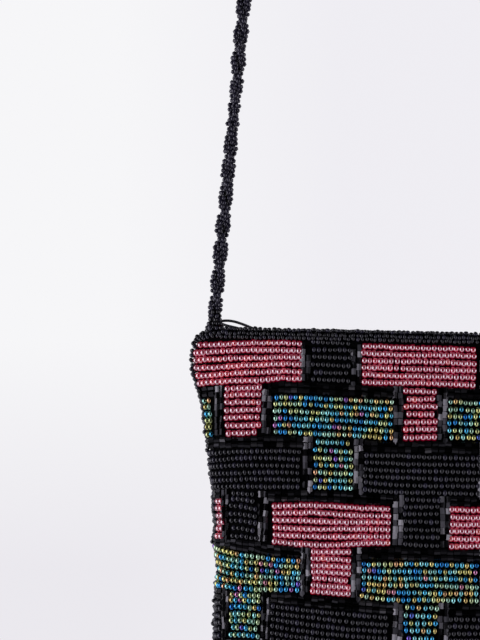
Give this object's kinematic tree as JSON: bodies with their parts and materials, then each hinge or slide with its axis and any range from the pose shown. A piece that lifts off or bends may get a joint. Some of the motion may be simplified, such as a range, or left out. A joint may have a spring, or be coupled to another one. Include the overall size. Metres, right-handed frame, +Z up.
{
  "type": "beaded crossbody bag",
  "caption": "Flat zip-top crossbody bag of bead-covered cloth in interlocking T blocks, bulging as if filled, hung from the top of its long beaded rope strap.",
  "frame": {"origin": "the place the strap hangs by: the underside of the top of its loop, over the middle of the bag", "axes": "+Z up along the hanging strap, +X to the bag's right as seen from the front, -Y out of the front panel"},
  "size_m": [0.1506, 0.0424, 0.7905],
  "materials": {
    "black_glass": "glossy opaque black seed beads and hexagonal bugle beads",
    "crimson_glass": "clear crimson seed beads with a pale lustre",
    "iris_glass": "metallic iris seed beads, teal to blue, green and gold",
    "backing_cloth": "black woven cloth and thread under the beads",
    "zip_tape": "dark grey woven tape",
    "zip_coil": "black moulded zip teeth",
    "zip_slider": "black enamelled slider and pull"
  },
  "bodies": {
    "root": {"front_panel": "black_glass", "back_panel": "black_glass", "top_edging_front": "black_glass", "top_edging_back": "black_glass", "seam_edging": "black_glass", "zip_tape_front": "zip_tape", "zip_tape_back": "zip_tape", "zip_coil": "zip_coil", "zip_slider": "zip_slider", "strap": "black_glass", "strap_root_left": "black_glass", "strap_root_right": "black_glass"}
  },
  "joints": []
}
